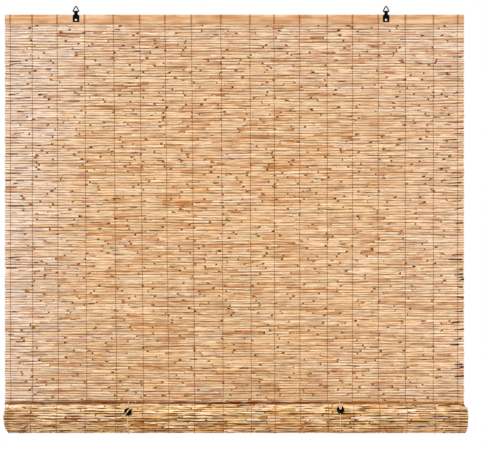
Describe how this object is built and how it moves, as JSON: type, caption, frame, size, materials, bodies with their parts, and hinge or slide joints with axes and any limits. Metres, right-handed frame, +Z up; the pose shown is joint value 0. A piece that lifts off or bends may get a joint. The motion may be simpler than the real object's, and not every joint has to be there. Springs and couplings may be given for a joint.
{
  "type": "reed roll up blind",
  "caption": "Roll up window blind of natural reeds bound with brown twine under a wooden batten, hung by wire rings, its lower end rolled up in front and tied with cords and slotted toggles.",
  "frame": {"origin": "middle of the blind's width on the hanging line, the line along which hooks bear on the inside top of both rings", "axes": "+X along the width to the viewer's right, +Y to the wall behind, +Z up"},
  "size_m": [1, 0.0766, 0.9298],
  "materials": {
    "batten": "planed softwood, bare",
    "reed": "natural reed stems, bare, slightly glossy skin",
    "twine": "twisted brown twine",
    "hanger_steel": "black lacquered sheet and wire",
    "screw_steel": "bright zinc plate",
    "tie_cord": "pale twisted cotton",
    "toggle": "black moulded plastic"
  },
  "bodies": {
    "blind": {"head_batten": "batten", "mat_panel": "reed", "mat_roll": "reed", "bottom_batten": "batten", "binding_twine_01": "twine", "binding_twine_02": "twine", "binding_twine_03": "twine", "binding_twine_04": "twine", "binding_twine_05": "twine", "binding_twine_06": "twine", "binding_twine_07": "twine", "binding_twine_08": "twine", "binding_twine_09": "twine", "binding_twine_10": "twine", "binding_twine_11": "twine", "binding_twine_12": "twine", "binding_twine_13": "twine", "binding_twine_14": "twine", "binding_twine_15": "twine", "binding_twine_16": "twine", "binding_twine_17": "twine", "binding_twine_18": "twine", "hanger_plate_left": "hanger_steel", "hanger_plate_right": "hanger_steel", "hanger_screw_left": "screw_steel", "hanger_screw_right": "screw_steel", "tie_cord_left": "tie_cord", "tie_cord_right": "tie_cord", "cord_toggle_left": "toggle", "cord_toggle_right": "toggle"},
    "left_ring": {"hanger_ring_left": "hanger_steel"},
    "right_ring": {"hanger_ring_right": "hanger_steel"}
  },
  "joints": [
    {"name": "left_ring_swing", "type": "hinge", "parent": "blind", "child": "left_ring", "pos_m": [-0.345, 0, -0.0101], "axis": [1, 0, 0], "range_deg": [-110, 160]},
    {"name": "right_ring_swing", "type": "hinge", "parent": "blind", "child": "right_ring", "pos_m": [0.33, 0, -0.0101], "axis": [1, 0, 0], "range_deg": [-110, 160]}
  ]
}
